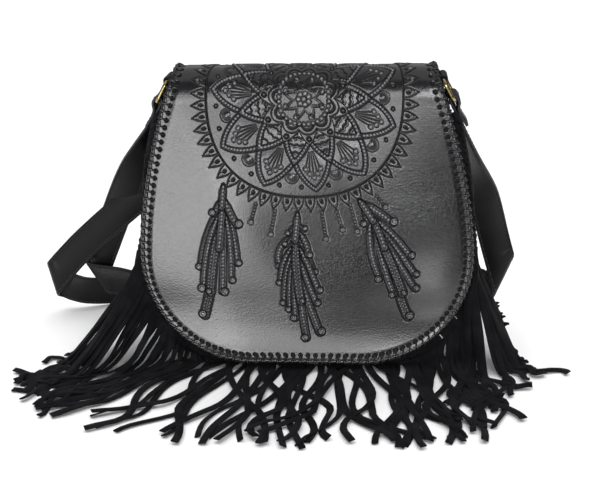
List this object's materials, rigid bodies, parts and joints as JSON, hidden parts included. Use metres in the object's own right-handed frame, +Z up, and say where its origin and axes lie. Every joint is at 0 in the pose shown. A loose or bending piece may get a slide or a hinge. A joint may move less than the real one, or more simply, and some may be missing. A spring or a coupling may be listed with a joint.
{
  "type": "tassel crossbody bag",
  "caption": "Black leather saddle bag with a tooled flap laced round its edge, suede fringe in the front seam and a strap on brass rings; carries small things on the shoulder.",
  "frame": {"origin": "middle of the flat base, on the floor that the bag stands on", "axes": "+Z up, +X to the right as seen from the front, the flap faces -Y"},
  "size_m": [0.5164, 0.2993, 0.2715],
  "materials": {
    "tooled_leather": "semi-gloss",
    "lace_leather": "gloss",
    "body_leather": "satin",
    "strap_leather": "satin",
    "suede": "suede, matte",
    "brass": "polished"
  },
  "bodies": {
    "root": {"back_and_flap": "tooled_leather", "edge_lacing": "lace_leather", "front_panel": "body_leather", "gusset": "body_leather", "fringe": "suede", "strap": "strap_leather", "ring_left": "brass", "ring_right": "brass", "ring_tab_left": "body_leather", "ring_tab_right": "body_leather"}
  },
  "joints": []
}
